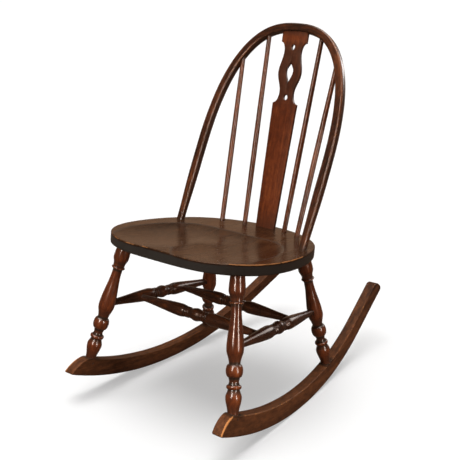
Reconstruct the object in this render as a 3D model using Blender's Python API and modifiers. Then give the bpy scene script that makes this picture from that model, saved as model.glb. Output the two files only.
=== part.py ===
"""Small armless Windsor rocking chair, built as separate wooden pieces with real joints.

Metres, +Z up, the sitter faces -Y, +X is on the right seen from the front, mirror plane x = 0.
The origin is on the floor under the middle of the chair's length.
Every tenon sits in its own socket with a small clearance all round.
"""
import math

import bmesh
import bpy
from mathutils import Matrix, Vector

# ---------------------------------------------------------------- driving dimensions
GAP = 0.0003                      # clearance between touching pieces

SEAT_TILT = math.radians(6.18)    # the seat falls to the rear
SEAT_ORIGIN = Vector((0.0, -0.1455, 0.3930))   # middle of the outline, on the rim plane
SEAT_THICK = 0.0254
SEAT_MEAN_RADIUS = 0.2332
SEAT_WAVES = (-0.0132, -0.0026, -0.0093, -0.0058)   # cosine terms 1..4 of the outline's radius
SEAT_EDGE_ROUND = 0.0030
SEAT_POINTS = 56
DISH_SIDE = (0.088, -0.060, 0.105, 0.160, 0.0080)   # x, y, half width, half length, depth
DISH_REAR = (0.0, 0.015, 0.150, 0.085, 0.0065)
DISH_BALL = 0.030                 # half height of the ellipsoids that cut the saddle

ROCKER_WIDTH = 0.0260
ROCKER_X = 0.2033                 # distance of a rocker's middle plane from x = 0, at y = 0, z = 0
ROCKER_TOE = 0.0684               # the rockers close towards the rear by this slope
ROCKER_CANT = 0.1419              # and towards the top by this one, in line with the legs
ROCKER_LOW_Y = -0.0713            # where the rockers touch the floor, under the centre of mass
ROCKER_LOW_FLAT = 0.040           # short flat at the lowest point, on which the chair rests
ROCKER_BOTTOM_R = 0.7877
ROCKER_TOP_R = 0.7281
ROCKER_TOP_CENTRE = (-0.0581, 0.7655)
ROCKER_STRAIGHT_Y = 0.2512        # behind this both arcs run on as straight lines
ROCKER_FRONT_Y = -0.4078
ROCKER_REAR_Y = 0.4102
ROCKER_TOP_FRONT_Y = -0.3568
ROCKER_TOP_REAR_Y = 0.3762
ROCKER_NOSE = (-0.4118, 0.0770)   # foremost point, y and z
ROCKER_ARC_STEPS = 14             # facets of the underside, before and behind the flat
ROCKER_TOP_STEPS = 18
ROCKER_ARRIS = 0.0015

LEG_FOOT_Y = {"front": -0.3458, "rear": 0.0788}     # where the legs stand on the rockers
LEG_SLOPE = {"front": Vector((-0.1817, 0.2670, 1.0)), "rear": Vector((-0.1760, -0.1860, 1.0))}
LEG_SEGMENTS = 14
LEG_SEAT_TENON_R = 0.0110
LEG_SEAT_TENON = 0.0140           # depth of the socket in the seat
LEG_ROCKER_TENON_R = 0.0075
LEG_ROCKER_TENON = 0.0200
LEG_SOCKET_AT = {"front": 0.1400, "rear": 0.1445}   # way up the leg to the side stretcher
PIN_R = 0.0030
PIN_DEPTH = 0.0105                # below the rocker's top

STRETCHER_SEGMENTS = 12
STRETCHER_TENON = 0.0160          # plain cylindrical end
STRETCHER_INTO_LEG = 0.0060       # the end stops this far short of the leg's axis
STRETCHER_INTO_SIDE = 0.0030
CROSS_AT = (0.29, 0.70)           # places of the cross stretchers along the side stretchers

BOW_BASE = (0.1836, -0.0478)      # x and y where its middle line meets the rim plane
BOW_LEAN = math.radians(25.44)
BOW_HEIGHT = 0.5284               # along the lean
BOW_SWELL_HEIGHT = 0.1861         # the sides are widest here
BOW_HALF_WIDTH = 0.1851
BOW_POWER = 2.52                  # the arch is a superellipse of this power
BOW_SECTION = 0.0202
BOW_END_SECTION = 0.0160
BOW_TAPER_HEIGHT = 0.1500
BOW_CHAMFER = 0.30                # part of the half section that the arrises lose
WEDGE_LENGTH = 0.0120
WEDGE_THICK = 0.0024

SPINDLES = {"outer": ((0.1137, 0.0364), 0.1374), "inner": ((0.0604, 0.0625), 0.0770)}
SPINDLE_SEGMENTS = 10
SPINDLE_IN_SEAT = 0.0130
SPINDLE_R_FOOT = 0.0061
SPINDLE_R_SWELL = 0.0068
SPINDLE_R_TOP = 0.0057

SPLAT_BASE_Y = 0.0686
SPLAT_TOP_HEIGHT = 0.5202         # in the bow's plane, along the lean
SPLAT_THICK = 0.0085
SPLAT_IN_SEAT = 0.0110
SPLAT_IN_BOW = 0.0050
SPLAT_EDGE = (                    # (height on the board, half width, how the edge runs on)
    (0.3146, 0.0348, "round_up"),   # shoulder
    (0.3414, 0.0198, "ease"),     # lower waist
    (0.3918, 0.0322, "ease"),     # bulge round the middle opening
    (0.4423, 0.0238, "round_down"),   # upper waist
    (0.4660, 0.0362, "end"),      # corner of the top block
)
SPLAT_BASE_HALF = 0.0275
SPLAT_OPENING = (
    (0.3589, 0.0000, "ease"),
    (0.3960, 0.0104, "ease"),
    (0.4207, 0.0000, "end"),
)

# Turned patterns: (distance along the axis, radius, how the profile runs on to the next station).
LEG_TURNING = (
    (0.0000, 0.0120, "ease"),     # foot
    (0.0346, 0.0176, "ease"),     # lower vase
    (0.0519, 0.0129, "round_up"),
    (0.0567, 0.0163, "round_down"),   # ring
    (0.0610, 0.0118, "ease"),
    (0.0681, 0.0105, "line"),     # cove
    (0.0764, 0.0124, "round_up"),
    (0.0907, 0.0185, "round_down"),   # ball
    (0.1044, 0.0123, "ease"),
    (0.1370, 0.0189, "ease"),     # long baluster
    (0.2243, 0.0112, "line"),
    (0.2305, 0.0116, "round_up"),
    (0.2330, 0.0158, "round_down"),   # thin collar
    (0.2358, 0.0130, "line"),
    (0.2400, 0.0136, "ease"),
    (0.2590, 0.0183, "ease"),     # bulb
    (0.3000, 0.0158, "line"),     # shoulder at the seat
    (0.3180, 0.0156, "end"),      # spare length, trimmed to the seat's underside
)
STRETCHER_HALF = (
    (0.0000, 0.0155, "ease"),     # barrel
    (0.0170, 0.0121, "line"),
    (0.0190, 0.0115, "ease"),
    (0.0222, 0.0133, "ease"),     # first ring
    (0.0254, 0.0115, "ease"),
    (0.0286, 0.0133, "ease"),     # second ring
    (0.0318, 0.0115, "round_up"),
    (0.0500, 0.0155, "taper"),    # vase
    (0.1560, 0.0080, "end"),
)

CHAIR = "rocking_chair"


# ---------------------------------------------------------------- scene and materials
def clear_scene():
    for obj in list(bpy.data.objects):
        bpy.data.objects.remove(obj, do_unlink=True)


def new_collection(name):
    collection = bpy.data.collections.new(name)
    bpy.context.scene.collection.children.link(collection)
    return collection


def wood(name, colour, roughness):
    material = bpy.data.materials.new(name)
    material.use_nodes = True
    shader = material.node_tree.nodes["Principled BSDF"]
    shader.inputs["Base Color"].default_value = (*colour, 1.0)
    shader.inputs["Roughness"].default_value = roughness
    shader.inputs["Metallic"].default_value = 0.0
    return material


WOODS = {
    "seat": ((0.115, 0.055, 0.030), 0.30),
    "bow": ((0.085, 0.030, 0.014), 0.28),
    "splat": ((0.120, 0.036, 0.014), 0.32),
    "spindle": ((0.110, 0.034, 0.016), 0.28),
    "leg": ((0.150, 0.036, 0.012), 0.22),
    "stretcher": ((0.090, 0.028, 0.012), 0.28),
    "rocker": ((0.075, 0.032, 0.018), 0.34),
    "pin": ((0.060, 0.026, 0.014), 0.45),
    "wedge": ((0.260, 0.140, 0.060), 0.55),
}


def place(obj, name, material, collection):
    """Name a finished piece, give it a material of its own and put it in one collection."""
    obj.name = name
    obj.data.name = name
    for user in list(obj.users_collection):
        user.objects.unlink(obj)
    collection.objects.link(obj)
    if material:
        obj.data.materials.clear()
        obj.data.materials.append(wood(name, *WOODS[material]))
    return obj


def as_cutter(obj, name, collection):
    place(obj, name, None, collection)
    obj.hide_render = True
    obj.display_type = "WIRE"
    return obj


# ---------------------------------------------------------------- shapes
def turned_points(stations, steps):
    """Points (distance, radius) along a turned pattern, with each stretch's own curve."""
    points = []
    for (s0, r0, run), (s1, r1, _) in zip(stations, stations[1:]):
        count = 1 if run == "line" else steps
        for i in range(count):
            u = i / count
            ease = 0.5 - 0.5 * math.cos(math.pi * u)
            share = {
                "line": u,
                "ease": ease,
                "taper": 0.5 * (ease + u),
                "round_up": math.sqrt(1.0 - (1.0 - u) ** 2),
                "round_down": 1.0 - math.sqrt(1.0 - u * u),
            }[run]
            points.append((s0 + (s1 - s0) * u, r0 + (r1 - r0) * share))
    points.append(stations[-1][:2])
    return points


def link(obj):
    bpy.context.scene.collection.objects.link(obj)
    return obj


def turned(name, points, segments):
    """A turned solid: the profile runs down its outer side and is screwed round Z."""
    outline = [(0.0, points[-1][0])]
    outline += [(r, s) for s, r in reversed(points)]
    outline += [(0.0, points[0][0])]
    mesh = bpy.data.meshes.new(name)
    vertices = [(x, 0.0, z) for x, z in outline]
    mesh.from_pydata(vertices, [(i, i + 1) for i in range(len(vertices) - 1)], [])
    obj = link(bpy.data.objects.new(name, mesh))
    screw = obj.modifiers.new("turn", "SCREW")
    screw.axis = "Z"
    screw.steps = segments
    screw.render_steps = segments
    screw.use_merge_vertices = True
    screw.merge_threshold = 0.00005
    screw.use_smooth_shade = True
    return obj


def apply_modifiers(obj):
    """Turn an object with modifiers, or a curve, into a plain welded mesh object."""
    depsgraph = bpy.context.evaluated_depsgraph_get()
    mesh = bpy.data.meshes.new_from_object(obj.evaluated_get(depsgraph))
    work = bmesh.new()
    work.from_mesh(mesh)
    bmesh.ops.remove_doubles(work, verts=work.verts, dist=0.00002)
    bmesh.ops.recalc_face_normals(work, faces=work.faces)
    work.to_mesh(mesh)
    work.free()
    solid = link(bpy.data.objects.new(obj.name, mesh))
    solid.matrix_world = obj.matrix_world.copy()
    bpy.data.objects.remove(obj, do_unlink=True)
    return solid


def outline_board(name, outline, thickness, holes=()):
    """A flat board: closed outlines in its XY plane, half the thickness to either side."""
    curve = bpy.data.curves.new(name, "CURVE")
    curve.dimensions = "2D"
    curve.fill_mode = "BOTH"
    curve.extrude = thickness / 2
    for loop in (outline, *holes):
        spline = curve.splines.new("POLY")
        spline.points.add(len(loop) - 1)
        for point, (x, y) in zip(spline.points, loop):
            point.co = (x, y, 0.0, 1.0)
        spline.use_cyclic_u = True
    return apply_modifiers(link(bpy.data.objects.new(name, curve)))


def cylinder(name, radius, start, end, segments):
    """A closed cylinder between two points."""
    start, end = Vector(start), Vector(end)
    mesh = bpy.data.meshes.new(name)
    work = bmesh.new()
    length = (end - start).length
    bmesh.ops.create_cone(
        work, cap_ends=True, segments=segments, radius1=radius, radius2=radius, depth=length)
    work.to_mesh(mesh)
    work.free()
    obj = link(bpy.data.objects.new(name, mesh))
    obj.matrix_world = along(start, end - start) @ Matrix.Translation((0, 0, length / 2))
    return obj


def box(name, size, matrix):
    mesh = bpy.data.meshes.new(name)
    work = bmesh.new()
    bmesh.ops.create_cube(work, size=1.0)
    bmesh.ops.scale(work, vec=size, verts=work.verts)
    work.to_mesh(mesh)
    work.free()
    obj = link(bpy.data.objects.new(name, mesh))
    obj.matrix_world = matrix
    return obj


def ellipsoid(name, half_axes, matrix):
    mesh = bpy.data.meshes.new(name)
    work = bmesh.new()
    bmesh.ops.create_uvsphere(work, u_segments=32, v_segments=16, radius=1.0)
    bmesh.ops.scale(work, vec=half_axes, verts=work.verts)
    work.to_mesh(mesh)
    work.free()
    obj = link(bpy.data.objects.new(name, mesh))
    obj.matrix_world = matrix
    return obj


def along(origin, direction):
    """A frame whose Z runs along the direction and whose X stays level, pointing to +X if it can."""
    z = Vector(direction).normalized()
    x = Vector((0.0, 1.0, 0.0)).cross(z)
    if x.length < 0.2:
        x = Vector((0.0, 0.0, 1.0)).cross(z)
    x.normalize()
    y = z.cross(x)
    turn = Matrix((x, y, z)).transposed().to_4x4()
    return Matrix.Translation(origin) @ turn


def boolean(obj, other, operation):
    modifier = obj.modifiers.new(operation.lower(), "BOOLEAN")
    modifier.operation = operation
    modifier.solver = "EXACT"
    modifier.object = other
    return modifier


def smooth(obj, angle=35.0):
    obj.data.shade_smooth()
    obj.data.set_sharp_from_angle(angle=math.radians(angle))


# ---------------------------------------------------------------- frames of the chair
SEAT_FRAME = Matrix.Translation(SEAT_ORIGIN) @ Matrix.Rotation(-SEAT_TILT, 4, "X")


def on_rim(x, y):
    """The point of the seat's rim plane over (x, y)."""
    z = SEAT_ORIGIN.z - math.tan(SEAT_TILT) * (y - SEAT_ORIGIN.y)
    return Vector((x, y, z))


def in_bow_plane(x, height):
    """The point of the bow's leaning plane at x and at a height measured along the lean."""
    foot = on_rim(0.0, BOW_BASE[1])
    return foot + Vector((x, height * math.sin(BOW_LEAN), height * math.cos(BOW_LEAN)))


def bow_height(x):
    """Height of the arch's middle line at x."""
    rise = (1.0 - (abs(x) / BOW_HALF_WIDTH) ** BOW_POWER) ** (1.0 / BOW_POWER)
    return BOW_SWELL_HEIGHT + (BOW_HEIGHT - BOW_SWELL_HEIGHT) * rise


def rocker_plane_x(y, z):
    return ROCKER_X - ROCKER_TOE * y - ROCKER_CANT * z


def mirrored(vector, side):
    return Vector((side * vector.x, vector.y, vector.z))


def arc_height(centre, radius, y):
    """Height of an arc that sags round its centre (y, z), with a straight run behind."""
    bend = min(y, ROCKER_STRAIGHT_Y) - centre[0]
    drop = math.sqrt(radius ** 2 - bend ** 2)
    return centre[1] - drop + max(y - ROCKER_STRAIGHT_Y, 0.0) * bend / drop


def rocker_top_z(y):
    return arc_height(ROCKER_TOP_CENTRE, ROCKER_TOP_R, y)


def rocker_bottom_z(y):
    return arc_height((ROCKER_LOW_Y, ROCKER_BOTTOM_R), ROCKER_BOTTOM_R, y)


def leg_line(row, side):
    """Where a leg's axis meets the top of its rocker, and the way that the leg goes up."""
    y = LEG_FOOT_Y[row]
    z = rocker_top_z(y)
    foot = Vector((side * rocker_plane_x(y, z), y, z))
    return foot, mirrored(LEG_SLOPE[row], side).normalized()


def side_stretcher_line(side):
    ends = []
    for row in ("front", "rear"):
        foot, up = leg_line(row, side)
        ends.append(foot + up * LEG_SOCKET_AT[row])
    return ends


def cross_stretcher_line(place_along):
    front, rear = side_stretcher_line(1)
    point = front.lerp(rear, place_along)
    return mirrored(point, -1), point


SIDES = {"left": -1, "right": 1}
ROWS = ("front", "rear")


# ---------------------------------------------------------------- seat
def seat_outline(count):
    points = []
    for i in range(count):
        angle = 2.0 * math.pi * i / count
        radius = SEAT_MEAN_RADIUS
        radius += sum(wave * math.cos((k + 1) * angle) for k, wave in enumerate(SEAT_WAVES))
        points.append((radius * math.sin(angle), -radius * math.cos(angle)))
    return points


def saddle_cutters():
    """Two thigh hollows with a pommel left between them, and a shallow bowl behind."""
    x, y, half_width, half_length, depth = DISH_SIDE
    hollows = [(side * x, y, half_width, half_length, depth) for side in (-1, 1)]
    hollows.append(DISH_REAR)
    for i, (x, y, half_width, half_length, depth) in enumerate(hollows):
        spread = math.sqrt(1.0 - ((DISH_BALL - depth) / DISH_BALL) ** 2)
        half_axes = (half_width / spread, half_length / spread, DISH_BALL)
        matrix = SEAT_FRAME @ Matrix.Translation((x, y, DISH_BALL - depth))
        yield ellipsoid(f"saddle_{i}", half_axes, matrix)


def make_seat(parts, cutters):
    seat = outline_board("seat", seat_outline(SEAT_POINTS), SEAT_THICK)
    seat.matrix_world = SEAT_FRAME @ Matrix.Translation((0, 0, -SEAT_THICK / 2))
    bevel = seat.modifiers.new("arris", "BEVEL")
    bevel.width = SEAT_EDGE_ROUND
    bevel.segments = 2
    bevel.limit_method = "ANGLE"
    bevel.angle_limit = math.radians(60)
    for cutter in saddle_cutters():
        boolean(seat, as_cutter(cutter, cutter.name, cutters), "DIFFERENCE")
    return place(seat, "seat", "seat", parts)


# ---------------------------------------------------------------- rockers
def bezier(p0, p1, p2, p3, count):
    points = []
    for i in range(count + 1):
        u = i / count
        weights = ((1 - u) ** 3, 3 * u * (1 - u) ** 2, 3 * u * u * (1 - u), u ** 3)
        points.append(tuple(sum(w * p[k] for w, p in zip(weights, (p0, p1, p2, p3))) for k in (0, 1)))
    return points


def spread(start, end, count):
    """count + 1 evenly spaced values from start to end."""
    return [start + (end - start) * i / count for i in range(count + 1)]


def rocker_outline():
    """The runner's side view: (y, z) round the outline, starting under the nose."""
    half_flat = ROCKER_LOW_FLAT / 2
    sink = rocker_bottom_z(ROCKER_LOW_Y + half_flat)
    places = spread(ROCKER_FRONT_Y, ROCKER_LOW_Y - half_flat, ROCKER_ARC_STEPS)
    places += spread(ROCKER_LOW_Y + half_flat, ROCKER_STRAIGHT_Y, ROCKER_ARC_STEPS)
    bottom = [(y, rocker_bottom_z(y) - sink) for y in (*places, ROCKER_REAR_Y)]
    places = spread(ROCKER_STRAIGHT_Y, ROCKER_TOP_FRONT_Y, ROCKER_TOP_STEPS)
    top = [(y, rocker_top_z(y)) for y in (ROCKER_TOP_REAR_Y, *places)]
    y, z = bottom[-1]
    top_y, top_z = top[0]
    rear = bezier((y, z), (y + 0.011, z + 0.005), (top_y + 0.030, top_z + 0.004), (top_y, top_z), 7)
    y, z = top[-1]
    nose_y, nose_z = ROCKER_NOSE
    front = bezier((y, z), (y - 0.014, z + 0.003), (nose_y + 0.0145, nose_z + 0.019), ROCKER_NOSE, 6)
    return bottom + rear[1:-1] + top + front[1:]


def rocker_frame(side):
    """Local X runs to the rear in the runner's plane, local Y up, local Z across it."""
    rear = Vector((-side * ROCKER_TOE, 1.0, 0.0)).normalized()
    up = Vector((0.0, 0.0, 1.0))
    across = rear.cross(up)
    turn = Matrix((rear, up, across)).transposed().to_4x4()
    return Matrix.Translation((side * ROCKER_X, 0.0, 0.0)) @ turn


def make_rocker(side_name, parts):
    side = SIDES[side_name]
    name = f"rocker_{side_name}"
    stretch = math.sqrt(1.0 + ROCKER_TOE ** 2)
    outline = [(y * stretch, z) for y, z in rocker_outline()]
    rocker = outline_board(name, outline, ROCKER_WIDTH)
    frame = rocker_frame(side)
    cant = Matrix.Identity(4)
    cant[2][1] = -side * ROCKER_CANT * frame.col[2].x
    rocker.data.transform(cant)
    rocker.matrix_world = frame
    bevel = rocker.modifiers.new("arris", "BEVEL")
    bevel.width = ROCKER_ARRIS
    bevel.segments = 1
    bevel.limit_method = "ANGLE"
    bevel.angle_limit = math.radians(60)
    return place(rocker, name, "rocker", parts)


def rocker_top_normal(y):
    centre_y, centre_z = ROCKER_TOP_CENTRE
    return Vector((0.0, centre_y - y, centre_z - rocker_top_z(y))).normalized()


# ---------------------------------------------------------------- legs and their joints
def make_leg(row, side_name, parts, cutters, seat, rocker):
    side = SIDES[side_name]
    name = f"leg_{row}_{side_name}"
    foot, up = leg_line(row, side)
    stations = [(-0.006, LEG_TURNING[0][1], "line"), *LEG_TURNING]
    leg = turned(name, turned_points(stations, 3), LEG_SEGMENTS)
    leg.matrix_world = along(foot, up)
    leg = apply_modifiers(leg)

    under = SEAT_FRAME @ Matrix.Translation((0, 0, -SEAT_THICK - GAP + 0.03))
    slab = box(f"{name}_seat_plane", (0.7, 0.7, 0.06), under)
    boolean(leg, as_cutter(slab, slab.name, cutters), "DIFFERENCE")
    normal = rocker_top_normal(foot.y)
    floor = along(foot + normal * (2 * GAP), normal) @ Matrix.Translation((0, 0, -0.02))
    slab = box(f"{name}_rocker_plane", (0.12, 0.12, 0.04), floor)
    boolean(leg, as_cutter(slab, slab.name, cutters), "DIFFERENCE")

    shoulder = plane_hit(foot, up, SEAT_FRAME @ Vector((0, 0, -SEAT_THICK)), SEAT_FRAME.to_3x3().col[2])
    tip = shoulder + up * LEG_SEAT_TENON
    tenon = cylinder(f"{name}_seat_tenon", LEG_SEAT_TENON_R, shoulder - up * 0.02, tip, LEG_SEGMENTS)
    boolean(leg, as_cutter(tenon, tenon.name, cutters), "UNION")
    socket = cylinder(
        f"{name}_seat_socket", LEG_SEAT_TENON_R + GAP * 1.05,
        shoulder - up * 0.02, tip + up * GAP, LEG_SEGMENTS)
    boolean(seat, as_cutter(socket, socket.name, cutters), "DIFFERENCE")

    tip = foot - up * LEG_ROCKER_TENON
    tenon = cylinder(f"{name}_rocker_tenon", LEG_ROCKER_TENON_R, tip, foot + up * 0.012, LEG_SEGMENTS)
    boolean(leg, as_cutter(tenon, tenon.name, cutters), "UNION")
    socket = cylinder(
        f"{name}_rocker_socket", LEG_ROCKER_TENON_R + GAP * 1.05,
        tip - up * GAP, foot + up * 0.02, LEG_SEGMENTS)
    boolean(rocker, as_cutter(socket, socket.name, cutters), "DIFFERENCE")

    middle = foot - up * PIN_DEPTH
    middle.x = side * rocker_plane_x(middle.y, middle.z)
    half = Vector((1.0, side * ROCKER_TOE, side * ROCKER_CANT)).normalized()
    half *= ROCKER_WIDTH / 2 * half.x
    pin = cylinder(f"rocker_pin_{row}_{side_name}", PIN_R, middle - half, middle + half, 10)
    smooth(pin)
    place(pin, f"rocker_pin_{row}_{side_name}", "pin", parts)
    hole = cylinder(
        f"{name}_pin_hole", PIN_R + GAP * 1.1, middle - half * 1.5, middle + half * 1.5, 10)
    as_cutter(hole, hole.name, cutters)
    boolean(leg, hole, "DIFFERENCE")
    boolean(rocker, hole, "DIFFERENCE")
    return place(leg, name, "leg", parts)


def plane_hit(point, direction, plane_point, plane_normal):
    """Where the line through a point meets a plane."""
    share = (plane_point - point).dot(plane_normal) / direction.dot(plane_normal)
    return point + direction * share


# ---------------------------------------------------------------- stretchers
def stretcher_points(half_length, steps):
    """The symmetric pattern, its plain ends lengthened or shortened to the half length."""
    half = list(STRETCHER_HALF)
    end_radius = half[-1][1]
    half[-1] = (half_length - STRETCHER_TENON, end_radius, "line")
    half.append((half_length, end_radius, "end"))
    right = turned_points(half, steps)
    left = [(-s, r) for s, r in reversed(right[1:])]
    return left + right


def make_stretcher(name, start, end, stop_short, parts):
    middle = (start + end) / 2
    half_length = (end - start).length / 2 - stop_short
    stretcher = turned(name, stretcher_points(half_length, 2), STRETCHER_SEGMENTS)
    stretcher.matrix_world = along(middle, end - start)
    return place(apply_modifiers(stretcher), name, "stretcher", parts)


def bore_for_stretcher(target, name, inner, outer, cutters):
    """The blind socket in a target piece: from inner, near the target's axis, out past its skin."""
    radius = STRETCHER_HALF[-1][1] + 0.0006
    direction = (outer - inner).normalized()
    socket = cylinder(name, radius, inner - direction * GAP, inner + direction * 0.030, STRETCHER_SEGMENTS)
    boolean(target, as_cutter(socket, name, cutters), "DIFFERENCE")


# ---------------------------------------------------------------- bow, spindles, splat
def bow_half(count_side, count_arch):
    """Middle line (x, height) of the right half, from under the seat up to the top."""
    base_x = BOW_BASE[0]
    points = []
    for i in range(count_side):
        share = i / count_side
        swell = (BOW_HALF_WIDTH - base_x) * math.sin(math.pi / 2 * share)
        points.append((base_x + swell, BOW_SWELL_HEIGHT * share))
    for i in range(count_arch + 1):
        angle = math.pi / 2 * i / count_arch
        x = BOW_HALF_WIDTH * max(math.cos(angle), 0.0) ** (2 / BOW_POWER)
        height = BOW_SWELL_HEIGHT + (BOW_HEIGHT - BOW_SWELL_HEIGHT) * math.sin(angle) ** (2 / BOW_POWER)
        points.append((x, height))
    return points


def bow_section(height):
    """Width of the rail at a height along the lean: thinner towards the seat."""
    share = min(max(height / BOW_TAPER_HEIGHT, 0.0), 1.0)
    share = share * share * (3 - 2 * share)
    return BOW_END_SECTION + (BOW_SECTION - BOW_END_SECTION) * share


def bow_frame():
    """Local X across the chair, local Y up along the lean, local Z square to the bow's plane."""
    up = Vector((0.0, math.sin(BOW_LEAN), math.cos(BOW_LEAN)))
    across = Vector((1.0, 0.0, 0.0))
    turn = Matrix((across, up, across.cross(up))).transposed().to_4x4()
    return Matrix.Translation(on_rim(0.0, BOW_BASE[1])) @ turn


def rail(name, points, widths, matrix, guides):
    """A rail of chamfered square section along a poly path in the XY plane of its frame."""
    ring = bpy.data.curves.new(f"{name}_section", "CURVE")
    ring.dimensions = "2D"
    corner = 1.0 - BOW_CHAMFER
    spline = ring.splines.new("POLY")
    sides = [(1, -corner), (1, corner), (corner, 1), (-corner, 1)]
    shape = sides + [(-x, -y) for x, y in sides]
    spline.points.add(len(shape) - 1)
    for point, (x, y) in zip(spline.points, shape):
        point.co = (x / 2, y / 2, 0.0, 1.0)
    spline.use_cyclic_u = True
    section = as_cutter(link(bpy.data.objects.new(f"{name}_section", ring)), f"{name}_section", guides)

    curve = bpy.data.curves.new(name, "CURVE")
    curve.dimensions = "3D"
    curve.twist_mode = "Z_UP"
    curve.bevel_mode = "OBJECT"
    curve.bevel_object = section
    curve.use_fill_caps = True
    path = curve.splines.new("POLY")
    path.points.add(len(points) - 1)
    for point, (x, y), width in zip(path.points, points, widths):
        point.co = (x, y, 0.0, 1.0)
        point.radius = width
    obj = link(bpy.data.objects.new(name, curve))
    obj.matrix_world = matrix
    return apply_modifiers(obj)


def make_bow(parts, cutters, seat):
    half = bow_half(6, 15)
    foot_drop = SEAT_THICK / math.cos(BOW_LEAN - SEAT_TILT) + 0.004
    half = [(BOW_BASE[0], -foot_drop), *half]
    points = half + [(-x, height) for x, height in reversed(half[:-1])]
    widths = [bow_section(height) for _, height in points]
    bow = rail("bow", points, widths, bow_frame(), cutters)

    under = SEAT_FRAME @ Matrix.Translation((0, 0, -SEAT_THICK - 0.03))
    slab = box("bow_foot_plane", (0.7, 0.7, 0.06), under)
    boolean(bow, as_cutter(slab, slab.name, cutters), "DIFFERENCE")

    for side_name, side in SIDES.items():
        name = f"bow_hole_{side_name}"
        ends = [(side * BOW_BASE[0], -foot_drop - 0.01), (side * BOW_BASE[0], 0.02)]
        width = BOW_END_SECTION + 2.6 * GAP
        hole = rail(name, ends, [width, width], bow_frame(), cutters)
        boolean(seat, as_cutter(hole, name, cutters), "DIFFERENCE")
        make_wedge(side_name, bow, parts, cutters)
    return place(bow, "bow", "bow", parts)


def make_wedge(side_name, bow, parts, cutters):
    """A hardwood wedge driven into the bow's foot from under the seat, with its slot in the bow."""
    side = SIDES[side_name]
    up = Vector((0.0, math.sin(BOW_LEAN), math.cos(BOW_LEAN)))
    across = Vector((1.0, 0.0, 0.0))
    foot = in_bow_plane(side * BOW_BASE[0], 0.0)
    normal = SEAT_FRAME.to_3x3().col[2]
    foot = plane_hit(foot, up, SEAT_FRAME @ Vector((0, 0, -SEAT_THICK)), normal)
    turn = Matrix((across, up.cross(across), up)).transposed().to_4x4()
    width = BOW_END_SECTION * 0.62
    for name, grow in ((f"bow_wedge_{side_name}", 0.0), (f"bow_slot_{side_name}", GAP)):
        length = WEDGE_LENGTH + grow + (0.006 if grow else 0.0)
        start = foot + up * (0.0035 - (0.006 if grow else 0.0))
        size = (WEDGE_THICK + 2 * grow, width + 2 * grow, length)
        wedge = box(name, size, Matrix.Translation(start + up * (length / 2)) @ turn)
        for vertex in wedge.data.vertices:
            if vertex.co.z > 0:
                vertex.co.x *= 0.45
        if grow:
            boolean(bow, as_cutter(wedge, name, cutters), "DIFFERENCE")
        else:
            place(wedge, name, "wedge", parts)


def make_spindle(kind, side_name, parts, cutters, seat, bow):
    side = SIDES[side_name]
    (base_x, base_y), top_x = SPINDLES[kind]
    name = f"spindle_{kind}_{side_name}"
    base = on_rim(side * base_x, base_y)
    top = in_bow_plane(side * top_x, bow_height(top_x))
    direction = (top - base).normalized()
    length = (top - base).length
    stations = (
        (-SPINDLE_IN_SEAT, SPINDLE_R_FOOT, "line"),
        (0.0, SPINDLE_R_FOOT, "ease"),
        (length * 0.35, SPINDLE_R_SWELL, "ease"),
        (length, SPINDLE_R_TOP, "end"),
    )
    spindle = turned(name, turned_points(stations, 3), SPINDLE_SEGMENTS)
    spindle.matrix_world = along(base, direction)
    place(apply_modifiers(spindle), name, "spindle", parts)
    socket = cylinder(
        f"{name}_foot", SPINDLE_R_FOOT + 1.4 * GAP,
        base - direction * (SPINDLE_IN_SEAT + GAP), base + direction * 0.02, SPINDLE_SEGMENTS)
    boolean(seat, as_cutter(socket, socket.name, cutters), "DIFFERENCE")
    socket = cylinder(
        f"{name}_head", SPINDLE_R_TOP + 2.0 * GAP,
        top - direction * 0.05, top + direction * GAP, SPINDLE_SEGMENTS)
    boolean(bow, as_cutter(socket, socket.name, cutters), "DIFFERENCE")


def splat_frame():
    """Local X across the chair, local Y up the board from the seat, local Z through the board."""
    base = on_rim(0.0, SPLAT_BASE_Y)
    up = in_bow_plane(0.0, SPLAT_TOP_HEIGHT) - base
    length = up.length
    up.normalize()
    across = Vector((1.0, 0.0, 0.0))
    turn = Matrix((across, up, across.cross(up))).transposed().to_4x4()
    return Matrix.Translation(base) @ turn, length


def oval(centre, half_width, half_height, point_down, count=12):
    """A hole's outline; with point_down its lower half is drawn to a point, like a drop."""
    points = []
    for i in range(count):
        angle = 2 * math.pi * i / count
        x, y = half_width * math.cos(angle), half_height * math.sin(angle)
        if point_down and y < 0:
            x *= 1.0 - 0.55 * (-y / half_height)
        points.append((x, centre + y))
    return points


def splat_outline(top):
    edge = [(SPLAT_BASE_HALF, -SPLAT_IN_SEAT), (SPLAT_BASE_HALF, 0.0)]
    edge += [(w, s) for s, w in turned_points(SPLAT_EDGE, 5)]
    edge += [(SPLAT_EDGE[-1][1], top)]
    return edge + [(-w, s) for w, s in reversed(edge)]


def splat_openings():
    side = turned_points(SPLAT_OPENING, 5)
    diamond = [(w, s) for s, w in side] + [(-w, s) for s, w in reversed(side[1:-1])]
    return [oval(0.3300, 0.0060, 0.0068, False), diamond, oval(0.4536, 0.0049, 0.0075, True)]


def make_splat(parts, cutters, seat, bow):
    frame, length = splat_frame()
    splat = outline_board("splat", splat_outline(length + SPLAT_IN_BOW), SPLAT_THICK, splat_openings())
    splat.matrix_world = frame
    place(splat, "splat", "splat", parts)
    for name, target, low, high, half_width in (
            ("splat_mortise", seat, -SPLAT_IN_SEAT - GAP, 0.03, SPLAT_BASE_HALF),
            ("splat_slot", bow, length - 0.03, length + SPLAT_IN_BOW + GAP, SPLAT_EDGE[-1][1])):
        size = (2 * half_width + 2 * GAP, high - low, SPLAT_THICK + 2 * GAP)
        cutter = box(name, size, frame @ Matrix.Translation((0, (low + high) / 2, 0)))
        boolean(target, as_cutter(cutter, name, cutters), "DIFFERENCE")


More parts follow.
